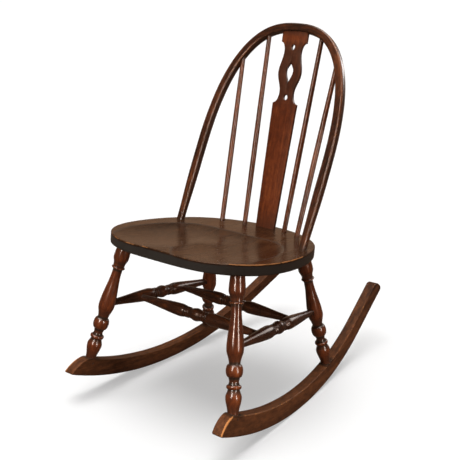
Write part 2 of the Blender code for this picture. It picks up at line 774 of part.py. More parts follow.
# ---------------------------------------------------------------- the chair
def build_chair():
    clear_scene()
    parts = new_collection(CHAIR)
    cutters = new_collection(f"{CHAIR}_cutters")

    seat = make_seat(parts, cutters)
    bow = make_bow(parts, cutters, seat)
    make_splat(parts, cutters, seat, bow)
    for kind in SPINDLES:
        for side_name in SIDES:
            make_spindle(kind, side_name, parts, cutters, seat, bow)

    for side_name, side in SIDES.items():
        rocker = make_rocker(side_name, parts)
        legs = {row: make_leg(row, side_name, parts, cutters, seat, rocker) for row in ROWS}
        start, end = side_stretcher_line(side)
        name = f"side_stretcher_{side_name}"
        stretcher = make_stretcher(name, start, end, STRETCHER_INTO_LEG, parts)
        run = (end - start).normalized()
        bore_for_stretcher(
            legs["front"], f"{name}_front_socket", start + run * STRETCHER_INTO_LEG, end, cutters)
        bore_for_stretcher(
            legs["rear"], f"{name}_rear_socket", end - run * STRETCHER_INTO_LEG, start, cutters)
        for row, place_along in zip(ROWS, CROSS_AT):
            ends = cross_stretcher_line(place_along)
            here, there = (ends[1], ends[0]) if side > 0 else (ends[0], ends[1])
            run = (there - here).normalized()
            bore_for_stretcher(
                stretcher, f"{name}_{row}_cross_socket", here + run * STRETCHER_INTO_SIDE, there, cutters)

    for row, place_along in zip(ROWS, CROSS_AT):
        start, end = cross_stretcher_line(place_along)
        make_stretcher(f"cross_stretcher_{row}", start, end, STRETCHER_INTO_SIDE, parts)

    for obj in parts.objects:
        smooth(obj)


build_chair()
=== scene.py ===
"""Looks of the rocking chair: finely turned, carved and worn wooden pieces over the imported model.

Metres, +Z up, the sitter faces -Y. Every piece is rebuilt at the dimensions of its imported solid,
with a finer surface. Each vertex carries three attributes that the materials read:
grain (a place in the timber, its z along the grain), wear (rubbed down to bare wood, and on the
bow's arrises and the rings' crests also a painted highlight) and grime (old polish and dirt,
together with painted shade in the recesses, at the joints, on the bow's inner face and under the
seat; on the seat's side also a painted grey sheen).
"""
import math

import bmesh
import bpy
from mathutils import Matrix, Vector, noise


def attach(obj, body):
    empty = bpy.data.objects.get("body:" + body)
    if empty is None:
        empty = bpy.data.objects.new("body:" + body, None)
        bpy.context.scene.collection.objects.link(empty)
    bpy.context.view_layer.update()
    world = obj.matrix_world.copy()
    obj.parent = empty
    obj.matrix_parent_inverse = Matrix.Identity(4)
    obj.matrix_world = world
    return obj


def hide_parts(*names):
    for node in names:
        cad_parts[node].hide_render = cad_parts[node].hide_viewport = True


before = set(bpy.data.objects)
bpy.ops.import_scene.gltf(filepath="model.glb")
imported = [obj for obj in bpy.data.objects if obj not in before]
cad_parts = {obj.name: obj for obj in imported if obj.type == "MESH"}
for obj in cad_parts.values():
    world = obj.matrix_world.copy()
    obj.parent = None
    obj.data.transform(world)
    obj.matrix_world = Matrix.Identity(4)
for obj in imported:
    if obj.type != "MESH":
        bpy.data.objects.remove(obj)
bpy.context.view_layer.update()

# ---------------------------------------------------------------- driving dimensions
SEAT_TILT = math.radians(6.18)
SEAT_ORIGIN = Vector((0.0, -0.1455, 0.3930))
SEAT_THICK = 0.0254
SEAT_ARRIS = 0.0026
SEAT_MEAN_RADIUS = 0.2332
SEAT_WAVES = (-0.0132, -0.0026, -0.0093, -0.0058)
DISH_SIDE = (0.088, -0.060, 0.105, 0.160, 0.0080)
DISH_REAR = (0.0, 0.015, 0.150, 0.085, 0.0065)
DISH_BALL = 0.030
DISH_BLEND = 0.0011                # how softly the hollows run into each other

ROCKER_WIDTH = 0.0260
ROCKER_X = 0.2033
ROCKER_TOE = 0.0684
ROCKER_CANT = 0.1419
ROCKER_LOW_Y = -0.0713
ROCKER_LOW_FLAT = 0.040
ROCKER_BOTTOM_R = 0.7877
ROCKER_TOP_R = 0.7281
ROCKER_TOP_CENTRE = (-0.0581, 0.7655)
ROCKER_STRAIGHT_Y = 0.2512
ROCKER_FRONT_Y = -0.4078
ROCKER_REAR_Y = 0.4102
ROCKER_TOP_FRONT_Y = -0.3568
ROCKER_TOP_REAR_Y = 0.3762
ROCKER_NOSE = (-0.4118, 0.0770)

LEG_FOOT_Y = {"front": -0.3458, "rear": 0.0788}
LEG_SLOPE = {"front": Vector((-0.1817, 0.2670, 1.0)), "rear": Vector((-0.1760, -0.1860, 1.0))}
LEG_SOCKET_AT = {"front": 0.1400, "rear": 0.1445}
PIN_R = 0.0030
PIN_DEPTH = 0.0105

STRETCHER_TENON = 0.0160
STRETCHER_END_R = 0.0080
STRETCHER_INTO_LEG = 0.0060
STRETCHER_INTO_SIDE = 0.0030
CROSS_AT = (0.29, 0.70)

BOW_BASE = (0.1836, -0.0478)
BOW_LEAN = math.radians(25.44)
BOW_HEIGHT = 0.5284
BOW_SWELL_HEIGHT = 0.1861
BOW_HALF_WIDTH = 0.1851
BOW_POWER = 2.52
BOW_SECTION = 0.0202
BOW_END_SECTION = 0.0160
BOW_TAPER_HEIGHT = 0.1500

SPINDLES = {"outer": ((0.1137, 0.0364), 0.1374), "inner": ((0.0604, 0.0625), 0.0770)}
SPINDLE_R_FOOT = 0.0061
SPINDLE_R_SWELL = 0.0068
SPINDLE_R_TOP = 0.0057

SPLAT_BASE_Y = 0.0686
SPLAT_TOP_HEIGHT = 0.5202
SPLAT_THICK = 0.0085
SPLAT_ARRIS = 0.0009
SPLAT_BASE_HALF = 0.0275
SPLAT_EDGE = (
    (0.3146, 0.0348, "round_up"),
    (0.3414, 0.0198, "ease"),
    (0.3918, 0.0322, "ease"),
    (0.4423, 0.0238, "round_down"),
    (0.4660, 0.0362, "end"),
)
SPLAT_DIAMOND = (
    (0.3589, 0.0000, "ease"),
    (0.3960, 0.0104, "ease"),
    (0.4207, 0.0000, "end"),
)
SPLAT_OVAL = (0.3300, 0.0060, 0.0068)
SPLAT_TEARDROP = (0.4536, 0.0049, 0.0075)

LEG_TURNING = (
    (0.0000, 0.0120, "ease"),     # foot
    (0.0346, 0.0176, "ease"),     # lower vase
    (0.0519, 0.0129, "round_up"),
    (0.0567, 0.0163, "round_down"),   # ring
    (0.0610, 0.0118, "ease"),
    (0.0681, 0.0105, "line"),     # cove
    (0.0764, 0.0124, "round_up"),
    (0.0907, 0.0185, "round_down"),   # ball
    (0.1044, 0.0123, "ease"),
    (0.1370, 0.0189, "ease"),     # long baluster
    (0.2243, 0.0112, "line"),
    (0.2305, 0.0116, "round_up"),
    (0.2330, 0.0158, "round_down"),   # thin collar
    (0.2358, 0.0130, "line"),
    (0.2400, 0.0136, "ease"),
    (0.2590, 0.0183, "ease"),     # bulb
    (0.3000, 0.0158, "line"),     # shoulder at the seat
    (0.3180, 0.0156, "end"),      # spare length, trimmed to the seat's underside
)
STRETCHER_HALF = (
    (0.0000, 0.0155, "ease"),     # barrel
    (0.0170, 0.0121, "line"),
    (0.0190, 0.0115, "ease"),
    (0.0222, 0.0133, "ease"),     # first ring
    (0.0254, 0.0115, "ease"),
    (0.0286, 0.0133, "ease"),     # second ring
    (0.0318, 0.0115, "round_up"),
    (0.0500, 0.0155, "taper"),    # vase, down to the tenon
)

SIDES = {"left": -1, "right": 1}
ROWS = ("front", "rear")
BODY = "root"
LIT_PIECES = bpy.data.collections.new("lit_pieces")
SHINY_PIECES = bpy.data.collections.new("shiny_pieces")    # all but the satin seat
SPARE = 0.008                     # how far a hidden end runs on inside its neighbour
PROUD = 0.0004                    # how far a flush end stands out, so that its outline shows
RIGHT = Vector((1.0, 0.0, 0.0))


# ---------------------------------------------------------------- shapes
def turned_points(stations, steps):
    """Points (distance, radius) along a turned pattern, with each stretch's own curve."""
    points = []
    for (s0, r0, run), (s1, r1, _) in zip(stations, stations[1:]):
        count = 3 if run == "line" else steps
        for i in range(count):
            u = i / count
            ease = 0.5 - 0.5 * math.cos(math.pi * u)
            share = {
                "line": u,
                "ease": ease,
                "taper": 0.5 * (ease + u),
                "round_up": math.sqrt(1.0 - (1.0 - u) ** 2),
                "round_down": 1.0 - math.sqrt(1.0 - u * u),
            }[run]
            points.append((s0 + (s1 - s0) * u, r0 + (r1 - r0) * share))
    points.append(stations[-1][:2])
    return points


def bezier(p0, p1, p2, p3, count):
    """count + 1 points of a cubic curve in the plane."""
    points = []
    for i in range(count + 1):
        u = i / count
        weights = ((1 - u) ** 3, 3 * u * (1 - u) ** 2, 3 * u * u * (1 - u), u ** 3)
        points.append(tuple(sum(w * p[k] for w, p in zip(weights, (p0, p1, p2, p3))) for k in (0, 1)))
    return points


def running_lengths(points):
    """The distance along a polyline at each of its points."""
    lengths = [0.0]
    for a, b in zip(points, points[1:]):
        lengths.append(lengths[-1] + math.dist(a, b))
    return lengths


def spread(start, end, count):
    """count + 1 evenly spaced values from start to end."""
    return [start + (end - start) * i / count for i in range(count + 1)]


def smooth_step(value, low, high):
    """0 at low and 1 at high, with an eased run between them. low may be the larger of the two."""
    share = min(max((value - low) / (high - low), 0.0), 1.0)
    return share * share * (3.0 - 2.0 * share)


def axes(x, y, z):
    """The rotation with these three directions as its axes."""
    return Matrix((x, y, z)).transposed().to_4x4()


def along(origin, direction):
    """A frame whose Z runs along the direction."""
    z = Vector(direction).normalized()
    x = Vector((0.0, 1.0, 0.0)).cross(z)
    if x.length < 0.2:
        x = Vector((0.0, 0.0, 1.0)).cross(z)
    x.normalize()
    return Matrix.Translation(origin) @ axes(x, z.cross(x), z)


def plane_hit(point, direction, plane_point, plane_normal):
    """Where the line through point along direction meets the plane."""
    share = (plane_point - point).dot(plane_normal) / direction.dot(plane_normal)
    return point + direction * share


def loft(name, rings, merge=True):
    """A mesh object from rings of vertices, each ring joined to the next, with filled ends."""
    work = bmesh.new()
    levels = [[work.verts.new(point) for point in ring] for ring in rings]
    for lower, upper in zip(levels, levels[1:]):
        count = len(lower)
        for i in range(count):
            j = (i + 1) % count
            work.faces.new((lower[i], lower[j], upper[j], upper[i]))
    work.faces.new(list(reversed(levels[0])))
    work.faces.new(levels[-1])
    return finish_mesh(name, work, merge)


def finish_mesh(name, work, merge=True, sharp=38.0):
    """A mesh object from a working mesh, smooth but for edges over sharp degrees."""
    if merge:
        bmesh.ops.remove_doubles(work, verts=work.verts, dist=0.000002)
    bmesh.ops.recalc_face_normals(work, faces=work.faces)
    mesh = bpy.data.meshes.new(name)
    work.to_mesh(mesh)
    work.free()
    mesh.shade_smooth()
    mesh.set_sharp_from_angle(angle=math.radians(sharp))
    obj = bpy.data.objects.new(name, mesh)
    bpy.context.scene.collection.objects.link(obj)
    return obj


def lathe(name, points, segments):
    """A mesh object turned round Z from points (distance, radius)."""
    angles = [2 * math.pi * i / segments for i in range(segments)]
    return loft(name, [[(r * math.cos(a), r * math.sin(a), s) for a in angles] for s, r in points])


def trim(obj, matrix, plane_point, plane_normal, axis, way):
    """Cut an object, still at the origin, where its place at matrix would pass a plane.

    The vertices past the plane slide back onto it along the local axis.
    """
    to_local = matrix.inverted()
    point = to_local @ plane_point
    normal = to_local.to_3x3() @ plane_normal
    for vertex in obj.data.vertices:
        past = (vertex.co - point).dot(normal)
        if past * way > 0.0:
            vertex.co[axis] -= past / normal[axis]


def paint(obj, grain, wear, grime, places=None):
    """Store the three attributes, from functions of a vertex's place or of its entry in places."""
    mesh = obj.data
    seed = sum(ord(letter) * (i + 1) for i, letter in enumerate(obj.name)) % 97
    offset = Vector((seed * 0.731, seed * 0.317, seed * 0.173))    # a different board for each piece
    entries = places if places else [vertex.co for vertex in mesh.vertices]
    for name, kind in (("grain", "FLOAT_VECTOR"), ("wear", "FLOAT"), ("grime", "FLOAT")):
        mesh.attributes.new(name, kind, "POINT")
    for item, place in zip(mesh.attributes["grain"].data, entries):
        item.vector = Vector(grain(place)) + offset
    for name, shade in (("wear", wear), ("grime", grime)):
        for item, place in zip(mesh.attributes[name].data, entries):
            item.value = min(max(shade(place), 0.0), 1.0)


def finish_piece(obj, slot, node):
    """Give a piece its material and its light, tie it to its body, and hide the imported part it replaces."""
    obj.data.materials.append(MATERIALS[slot])
    LIT_PIECES.objects.link(obj)
    if slot != "seat":
        SHINY_PIECES.objects.link(obj)
    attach(obj, BODY)
    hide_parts(node)
    return obj


# ---------------------------------------------------------------- frames of the chair
SEAT_FRAME = Matrix.Translation(SEAT_ORIGIN) @ Matrix.Rotation(-SEAT_TILT, 4, "X")
SEAT_UP = SEAT_FRAME.to_3x3().col[2].copy()
SEAT_UNDER = SEAT_FRAME @ Vector((0.0, 0.0, -SEAT_THICK))


def on_rim(x, y):
    """The point of the seat's rim plane over (x, y)."""
    return Vector((x, y, SEAT_ORIGIN.z - math.tan(SEAT_TILT) * (y - SEAT_ORIGIN.y)))


BOW_UP = Vector((0.0, math.sin(BOW_LEAN), math.cos(BOW_LEAN)))


def in_bow_plane(x, height):
    return on_rim(0.0, BOW_BASE[1]) + Vector((x, 0.0, 0.0)) + BOW_UP * height


def bow_height(x):
    rise = (1.0 - (abs(x) / BOW_HALF_WIDTH) ** BOW_POWER) ** (1.0 / BOW_POWER)
    return BOW_SWELL_HEIGHT + (BOW_HEIGHT - BOW_SWELL_HEIGHT) * rise


def rocker_plane_x(y, z):
    return ROCKER_X - ROCKER_TOE * y - ROCKER_CANT * z


def arc_height(centre, radius, y):
    """Height of an arc that sags round its centre (y, z), with a straight run behind."""
    bend = min(y, ROCKER_STRAIGHT_Y) - centre[0]
    drop = math.sqrt(radius ** 2 - bend ** 2)
    return centre[1] - drop + max(y - ROCKER_STRAIGHT_Y, 0.0) * bend / drop


def rocker_top_z(y):
    return arc_height(ROCKER_TOP_CENTRE, ROCKER_TOP_R, y)


def rocker_bottom_z(y):
    return arc_height((ROCKER_LOW_Y, ROCKER_BOTTOM_R), ROCKER_BOTTOM_R, y)


def leg_line(row, side):
    y = LEG_FOOT_Y[row]
    z = rocker_top_z(y)
    slope = LEG_SLOPE[row]
    foot = Vector((side * rocker_plane_x(y, z), y, z))
    return foot, Vector((side * slope.x, slope.y, slope.z)).normalized()


def side_stretcher_line(side):
    ends = []
    for row in ROWS:
        foot, up = leg_line(row, side)
        ends.append(foot + up * LEG_SOCKET_AT[row])
    return ends


def cross_stretcher_line(place_along):
    front, rear = side_stretcher_line(1)
    point = front.lerp(rear, place_along)
    return Vector((-point.x, point.y, point.z)), point


# ---------------------------------------------------------------- materials
def add(tree, kind, settings=None, **inputs):
    """A node with its settings, and with inputs (by name, or i0, i1 and so on) as values or links."""
    made = tree.nodes.new(kind)
    for key, value in (settings or {}).items():
        setattr(made, key, value)
    for key, value in inputs.items():
        socket = made.inputs[int(key[1:]) if key[1:].isdigit() else key]
        if isinstance(value, bpy.types.NodeSocket):
            tree.links.new(value, socket)
        else:
            socket.default_value = value
    return made


def maths(tree, operation, a, b):
    return add(tree, "ShaderNodeMath", {"operation": operation}, i0=a, i1=b).outputs[0]


def weighted(tree, start, *terms, clamp=False):
    """start plus the sum of the terms, each a socket with its weight."""
    result = start
    for value, weight in terms:
        node = add(tree, "ShaderNodeMath", {"operation": "MULTIPLY_ADD"}, i0=value, i1=weight, i2=result)
        result = node.outputs[0]
    node.use_clamp = clamp
    return result


def mix(tree, factor, a, b):
    return add(tree, "ShaderNodeMix", {"data_type": "RGBA"}, i0=factor, i6=a, i7=b).outputs[2]


def remap(tree, value, low, high, to_low=0.0, to_high=1.0, smooth=True):
    settings = {"interpolation_type": "SMOOTHSTEP" if smooth else "LINEAR"}
    made = add(tree, "ShaderNodeMapRange", settings, i0=value, i1=low, i2=high, i3=to_low, i4=to_high)
    return made.outputs[0]


def attribute(tree, name, output):
    return add(tree, "ShaderNodeAttribute", {"attribute_name": name}).outputs[output]


def stretched_noise(tree, vector, stretch, detail, roughness=0.55, distortion=0.0):
    scaled = add(tree, "ShaderNodeVectorMath", {"operation": "MULTIPLY"}, i0=vector, i1=stretch)
    return add(
        tree, "ShaderNodeTexNoise", Vector=scaled.outputs[0], Scale=1.0, Detail=detail,
        Roughness=roughness, Distortion=distortion).outputs[0]


def rgb(red, green, blue):
    return (red, green, blue, 1.0)


# the pale wood colour also paints the highlights on the bow's arrises and the rings' crests
BARE_AND_HIGHLIGHT = (0.42, 0.17, 0.055)        # wood under the stain
SHELLAC = rgb(1.0, 0.60, 0.40)    # tint of the old finish in its reflections


def stained_wood(
        name, deep, middle, light, bare_and_highlight, gloss, coat=0.20, coat_roughness=0.10, figure=1.0,
        dirt_and_shade=(0.012, 0.0075, 0.005), level=0.35, relief=0.30):
    """Old stained and varnished wood, rubbed to bare wood where wear is high; where the wear mask
    stands for a painted highlight, the same pale colour paints it.

    Deep, middle and light are the stain's colours across the figure, bare is the wood under it and
    the colour of the painted highlights, gloss is the roughness of clean varnish, and dirt is the
    colour of the grime and of the painted shade.
    """
    material = bpy.data.materials.new(name)
    material.use_nodes = True
    tree = material.node_tree
    shader = tree.nodes["Principled BSDF"]
    grain = attribute(tree, "grain", "Vector")
    wear = attribute(tree, "wear", "Fac")
    grime = attribute(tree, "grime", "Fac")

    fibre = stretched_noise(tree, grain, (950.0, 950.0, 16.0), 3.0, 0.6)
    bands = stretched_noise(tree, grain, (95.0, 95.0, 3.2), 4.0, 0.55, 0.35)
    cloud = stretched_noise(tree, grain, (13.0, 13.0, 5.0), 3.0, 0.5)
    pores = remap(tree, stretched_noise(tree, grain, (1700.0, 1700.0, 70.0), 2.0), 0.60, 0.72)
    speck = stretched_noise(tree, grain, (420.0, 420.0, 300.0), 4.0, 0.65)
    mottle = stretched_noise(tree, grain, (120.0, 120.0, 45.0), 5.0, 0.68)

    tone = weighted(tree, 0.0, (bands, 0.40), (fibre, 0.20), (cloud, 0.40), (mottle, 0.60))
    tone = remap(tree, tone, 0.80 - 0.17 / figure, 0.80 + 0.20 / figure, smooth=False)
    ramp = add(tree, "ShaderNodeValToRGB", i0=tone)
    ramp.color_ramp.elements[0].color = rgb(*deep)
    ramp.color_ramp.elements[0].position = 0.08
    ramp.color_ramp.elements[1].color = rgb(*light)
    ramp.color_ramp.elements[1].position = 0.95
    ramp.color_ramp.elements.new(0.5).color = rgb(*middle)

    darker = rgb(deep[0] * 0.45, deep[1] * 0.45, deep[2] * 0.5)
    colour = mix(tree, maths(tree, "MULTIPLY", pores, 0.55), ramp.outputs[0], darker)
    # painted shade: the grime mask darkens recesses, joints and undersides where shade falls, along with real
    # dirt
    soil_and_shade = maths(tree, "MULTIPLY", grime, remap(tree, cloud, 0.25, 0.6, 0.7, 1.0))
    colour = mix(tree, soil_and_shade, colour, rgb(*dirt_and_shade))

    ragged = weighted(tree, wear, (maths(tree, "SUBTRACT", speck, 0.5), 1.3))
    # painted highlight: on the bow's arrises and the rings' crests the wear mask also stands for light caught
    # on the edge
    worn_and_highlight = remap(tree, ragged, 0.42, 0.66)
    rubbed_and_highlight = mix(tree, fibre, rgb(*bare_and_highlight), rgb(bare_and_highlight[0] * 0.6, bare_and_highlight[1] * 0.55, bare_and_highlight[2] * 0.5))
    colour = mix(tree, worn_and_highlight, colour, rubbed_and_highlight)
    tree.links.new(colour, shader.inputs["Base Color"])

    uneven = maths(tree, "SUBTRACT", cloud, 0.5)
    rough = weighted(tree, gloss, (uneven, 0.30), (pores, 0.12), (worn_and_highlight, 0.22), (soil_and_shade, 0.15), clamp=True)
    tree.links.new(rough, shader.inputs["Roughness"])

    height = weighted(tree, 0.0, (fibre, 0.35), (pores, -0.5), (bands, 0.6), (worn_and_highlight, -0.7))
    bump = add(tree, "ShaderNodeBump", Strength=relief, Distance=0.0004, Height=height)
    tree.links.new(bump.outputs[0], shader.inputs["Normal"])
    shader.inputs["Coat Weight"].default_value = coat
    shader.inputs["Coat Roughness"].default_value = coat_roughness
    shader.inputs["Specular IOR Level"].default_value = level
    shader.inputs["Specular Tint"].default_value = SHELLAC
    return material


MATERIALS = {
    # the seat's pale grey grime colour is dirt together with a painted grey sheen on the seat's side
    "seat": stained_wood(
        "seat_top_wood", (0.016, 0.0066, 0.0028), (0.040, 0.0160, 0.0066), (0.078, 0.033, 0.0135),
        (0.46, 0.19, 0.065), 0.25, coat=0.0, dirt_and_shade=(0.074, 0.073, 0.066), relief=0.15),
    "bow": stained_wood(
        "bow_wood", (0.014, 0.0055, 0.0030), (0.042, 0.0125, 0.0052), (0.110, 0.030, 0.009), BARE_AND_HIGHLIGHT, 0.26,
        coat=0.4, coat_roughness=0.15, relief=0.12),
    "splat": stained_wood(
        "splat_wood", (0.040, 0.0090, 0.0035), (0.090, 0.0190, 0.0060), (0.155, 0.0370, 0.0095), BARE_AND_HIGHLIGHT, 0.38,
        coat=0.1, figure=0.85, level=0.25, relief=0.2),
    "spindle": stained_wood(
        "spindle_wood", (0.026, 0.0070, 0.0030), (0.070, 0.0175, 0.0060), (0.150, 0.038, 0.011), BARE_AND_HIGHLIGHT, 0.26,
        coat=0.35, coat_roughness=0.15, relief=0.08),
    "leg": stained_wood(
        "leg_wood", (0.028, 0.0070, 0.0032), (0.080, 0.0175, 0.0055), (0.170, 0.040, 0.010), BARE_AND_HIGHLIGHT, 0.25,
        coat=0.75, coat_roughness=0.15, figure=0.8, relief=0.08),
    "stretcher": stained_wood(
        "stretcher_wood", (0.011, 0.0050, 0.0030), (0.034, 0.0105, 0.0045), (0.135, 0.034, 0.009), BARE_AND_HIGHLIGHT, 0.28,
        coat=0.35, coat_roughness=0.18, figure=0.7, relief=0.06),
    "rocker": stained_wood(
        "rocker_wood", (0.025, 0.0095, 0.0050), (0.068, 0.0240, 0.0100), (0.140, 0.048, 0.018), BARE_AND_HIGHLIGHT, 0.42,
        coat=0.0, figure=0.85, level=0.12, relief=0.25),
    "pin": stained_wood(
        "pin_wood", (0.020, 0.008, 0.005), (0.042, 0.016, 0.009), (0.060, 0.024, 0.012), BARE_AND_HIGHLIGHT, 0.42),
    "wedge": stained_wood(
        "wedge_wood", (0.150, 0.075, 0.034), (0.230, 0.120, 0.055), (0.300, 0.165, 0.080), BARE_AND_HIGHLIGHT, 0.55,
        coat=0.0),
}


# ---------------------------------------------------------------- seat
def seat_radius(angle):
    """The outline's distance from the middle, with the angle from the front towards +X."""
    waves = sum(wave * math.cos((k + 1) * angle) for k, wave in enumerate(SEAT_WAVES))
    return SEAT_MEAN_RADIUS + waves


def hollow_depth(x, y, hollow):
    """Depth at (x, y) of a hollow scooped by a stretched ball. It is negative outside the hollow."""
    centre_x, centre_y, half_width, half_length, depth = hollow
    spread_out = math.sqrt(1.0 - ((DISH_BALL - depth) / DISH_BALL) ** 2)
    far = ((x - centre_x) * spread_out / half_width) ** 2 + ((y - centre_y) * spread_out / half_length) ** 2
    return DISH_BALL * math.sqrt(max(1.0 - far, 0.0)) - (DISH_BALL - depth)


def saddle_depth(x, y):
    """How deep the seat is carved at (x, y): two thigh hollows and a bowl, blended into each other."""
    hollows = [(side * DISH_SIDE[0], *DISH_SIDE[1:]) for side in (-1, 1)] + [DISH_REAR]
    total = sum(math.exp(hollow_depth(x, y, hollow) / DISH_BLEND) for hollow in hollows)
    return max(DISH_BLEND * math.log(total), 0.0)


def seat_section(angle):
    """Points (radius, height) from near the middle of the top, round the rim, to the underside."""
    edge = seat_radius(angle)
    inner = edge - SEAT_ARRIS
    points = []
    for share in spread(0.0, 1.0, 84)[1:]:
        radius = inner * share
        points.append((radius, -saddle_depth(radius * math.sin(angle), -radius * math.cos(angle))))
    top = points[-1][1] - SEAT_ARRIS
    low = -SEAT_THICK + SEAT_ARRIS
    quarter = math.pi / 2
    for turn in spread(0.0, quarter, 6)[1:]:
        points.append((inner + SEAT_ARRIS * math.sin(turn), top + SEAT_ARRIS * math.cos(turn)))
    points += [(edge, top * (1 - u) + low * u) for u in spread(0.0, 1.0, 6)[1:-1]]
    for turn in spread(quarter, 2 * quarter, 6):
        points.append((inner + SEAT_ARRIS * math.sin(turn), low + SEAT_ARRIS * math.cos(turn)))
    points += [(inner * share, -SEAT_THICK) for share in spread(1.0, 0.06, 10)[1:]]
    return points


def make_seat():
    angles = spread(0.0, 2.0 * math.pi, 320)[:-1]
    sections = [seat_section(angle) for angle in angles]
    rings = []
    for level in zip(*sections):
        rings.append([(r * math.sin(a), -r * math.cos(a), z) for a, (r, z) in zip(angles, level)])
    seat = loft("seat_carved", rings)

    def grain(place):
        board = math.floor(place.x / 0.118 + 0.5)    # glued up from boards 118 mm wide
        return (place.z + 0.37 * board, place.x, place.y + 0.61 * board)

    def wear(place):
        angle = math.atan2(place.x, -place.y)
        gap = seat_radius(angle) - math.hypot(place.x, place.y)
        brink = -saddle_depth(place.x, place.y)
        at_arris = smooth_step(gap, 0.0034, 0.0010) * smooth_step(place.z, brink - 0.0036, brink - 0.0012)
        degrees = math.degrees(angle)
        right = 0.78 * smooth_step(degrees, 36, 52) * smooth_step(degrees, 108, 92)
        left = 0.52 * smooth_step(degrees, -66, -40) * smooth_step(degrees, 4, -12)
        rest = 0.30
        patchy = noise.noise(Vector((angle * 9.0, 3.0, 0.0))) + noise.noise(Vector((angle * 34.0, 8.0, 0.0)))
        return at_arris * (max(right, left, rest) + 0.42 * patchy)

    def grime(place):
        angle = math.atan2(place.x, -place.y)
        gap = seat_radius(angle) - math.hypot(place.x, place.y)
        depth = saddle_depth(place.x, place.y)
        # dirt and a painted grey sheen on the seat's side
        side_dirt_and_sheen = 0.92 * smooth_step(gap, 0.003, 0.0) * smooth_step(place.z, -depth - 0.002, -depth - 0.006)
        # painted shade along the crease where the hollows run out into the rim, and a flat painted shade
        # under the seat
        crease_shade = 0.35 * smooth_step(depth, 0.0012, 0.0001) if depth > 0.0 else 0.0
        return max(side_dirt_and_sheen, crease_shade if place.z > -0.012 else 0.2)

    paint(seat, grain, wear, grime)
    seat.matrix_world = SEAT_FRAME
    finish_piece(seat, "seat", "seat")


# ---------------------------------------------------------------- turned pieces
def recess_shades(points):
    """Dirt and painted shade in the grooves and towards the ends, wear and a painted highlight on the crests,
    as functions of the distance.
    """
    def radius_at(s):
        for (s0, r0), (s1, r1) in zip(points, points[1:]):
            if s <= s1:
                return r0 + (r1 - r0) * (s - s0) / max(s1 - s0, 1e-9)
        return points[-1][1]

    first, last = points[0][0], points[-1][0]
    count = 240
    table = [radius_at(first + (last - first) * i / count) for i in range(count + 1)]
    step = (last - first) / count

    def look_up(s, reach):
        middle = int(round((s - first) / step))
        span = max(int(round(reach / step)), 1)
        return table[max(middle - span, 0):min(middle + span, count) + 1]

    # painted shade with dirt: darker in the grooves, round the beads and towards the ends at the seat and the
    # rocker
    def grime(s, r):
        close = smooth_step(max(look_up(s, 0.0055)) - r, 0.0005, 0.0036)
        around = smooth_step(max(look_up(s, 0.0120)) - r, 0.0015, 0.0085)
        at_end = smooth_step(min(s - first, last - s), 0.034, 0.012)
        return min(0.95 * close + 0.45 * around + 0.40 * at_end, 0.95)

    # painted highlight with wear: paler crests on the rings
    def wear(s, r):
        near = look_up(s, 0.0045)
        return 0.42 * smooth_step(r - sum(near) / len(near), 0.0002, 0.0016)

    return grime, wear


def paint_turned(obj, points):
    soil_and_shade, crest_wear_and_highlight = recess_shades(points)
    paint(
        obj,
        lambda place: place,
        lambda place: crest_wear_and_highlight(place.z, math.hypot(place.x, place.y)) + 0.10 * noise.noise(place * 45.0),
        lambda place: soil_and_shade(place.z, math.hypot(place.x, place.y)))


def make_leg(row, side_name):
    node = f"leg_{row}_{side_name}"
    foot, up = leg_line(row, SIDES[side_name])
    points = turned_points([(-SPARE, LEG_TURNING[0][1], "line"), *LEG_TURNING], 9)
    leg = lathe(f"{node}_turned", points, 56)
    matrix = along(foot, up)
    centre = Vector((0.0, *ROCKER_TOP_CENTRE))
    rocker_up = Vector((0.0, centre.y - foot.y, centre.z - foot.z)).normalized()
    trim(leg, matrix, SEAT_UNDER, SEAT_UP, 2, 1)
    trim(leg, matrix, foot, rocker_up, 2, -1)
    paint_turned(leg, points)
    leg.matrix_world = matrix
    finish_piece(leg, "leg", node)


def make_stretcher(node, start, end, stop_short):
    """A stretcher turned to the same pattern on both sides of its middle."""
    half_length = (end - start).length / 2 - stop_short
    shoulder = (half_length - STRETCHER_TENON, STRETCHER_END_R, "line")
    right = turned_points([*STRETCHER_HALF, shoulder, (half_length, STRETCHER_END_R, "end")], 9)
    points = [(-s, r) for s, r in reversed(right[1:])] + right
    stretcher = lathe(f"{node}_turned", points, 48)
    paint_turned(stretcher, points)
    stretcher.matrix_world = along((start + end) / 2, end - start)
    finish_piece(stretcher, "stretcher", node)


def make_spindle(kind, side_name):
    side = SIDES[side_name]
    (base_x, base_y), top_x = SPINDLES[kind]
    node = f"spindle_{kind}_{side_name}"
    base = on_rim(side * base_x, base_y)
    top = in_bow_plane(side * top_x, bow_height(top_x))
    length = (top - base).length
    stations = (
        (-0.010, SPINDLE_R_FOOT, "line"),
        (0.0, SPINDLE_R_FOOT, "ease"),
        (length * 0.35, SPINDLE_R_SWELL, "ease"),
        (length, SPINDLE_R_TOP, "end"),
    )
    points = turned_points(stations, 16)
    spindle = lathe(f"{node}_shaved", points, 32)
    for vertex in spindle.data.vertices:    # faint flats left by the plane
        facet = noise.noise(Vector((vertex.co.x * 160.0, vertex.co.y * 160.0, vertex.co.z * 18.0)))
        vertex.co.x *= 1.0 + 0.02 * facet
        vertex.co.y *= 1.0 + 0.02 * facet

    # painted shade, with dirt, where the spindle meets the seat and the bow
    def soil_and_shade(place):
        at_seat = smooth_step(place.z, 0.012, 0.0)
        at_bow = smooth_step(place.z, length - 0.030, length - 0.012)
        return 0.75 * max(at_seat, at_bow)

    paint(spindle, lambda place: place, lambda place: 0.10 + 0.12 * noise.noise(place * 30.0), soil_and_shade)
    spindle.matrix_world = along(base, top - base)
    finish_piece(spindle, "spindle", node)


